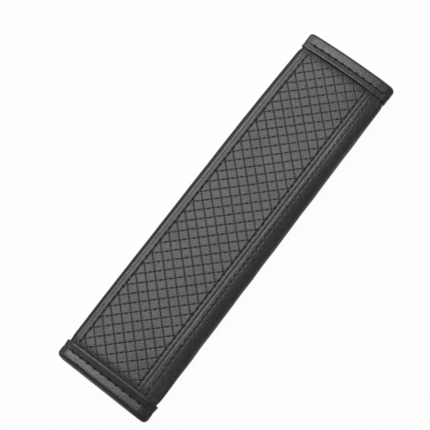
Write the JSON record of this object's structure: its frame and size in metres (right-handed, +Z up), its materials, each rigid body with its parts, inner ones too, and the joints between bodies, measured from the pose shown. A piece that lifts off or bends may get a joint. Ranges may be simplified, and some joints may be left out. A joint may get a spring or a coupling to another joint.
{
  "type": "seat belt shoulder pad",
  "caption": "Padded leather sleeve, folded and closed round a seat belt, with a diamond-quilted front and a bound edge at each end.",
  "frame": {"origin": "middle of the pad, on the surface that it rests on", "axes": "+X across the pad from its free edge to its fold, +Y along it, +Z up out of the quilted face"},
  "size_m": [0.0666, 0.26, 0.015],
  "materials": {
    "quilted_leather": "soft satin, diamond quilting",
    "smooth_leather": "soft satin, fine grain",
    "binding_leather": "soft satin, fine grain",
    "foam": "open-cell foam",
    "lining_cloth": "brushed knit",
    "loop_tape": "looped pile",
    "hook_tape": "moulded hooks on woven tape",
    "thread": "bonded sewing thread"
  },
  "bodies": {
    "root": {"quilted_front_panel": "quilted_leather", "free_edge_panel": "smooth_leather", "fold_and_back_panel": "smooth_leather", "foam_core": "foam", "lining": "lining_cloth", "loop_strip": "loop_tape", "hook_strip": "hook_tape", "top_end_binding": "binding_leather", "bottom_end_binding": "binding_leather"}
  },
  "joints": []
}
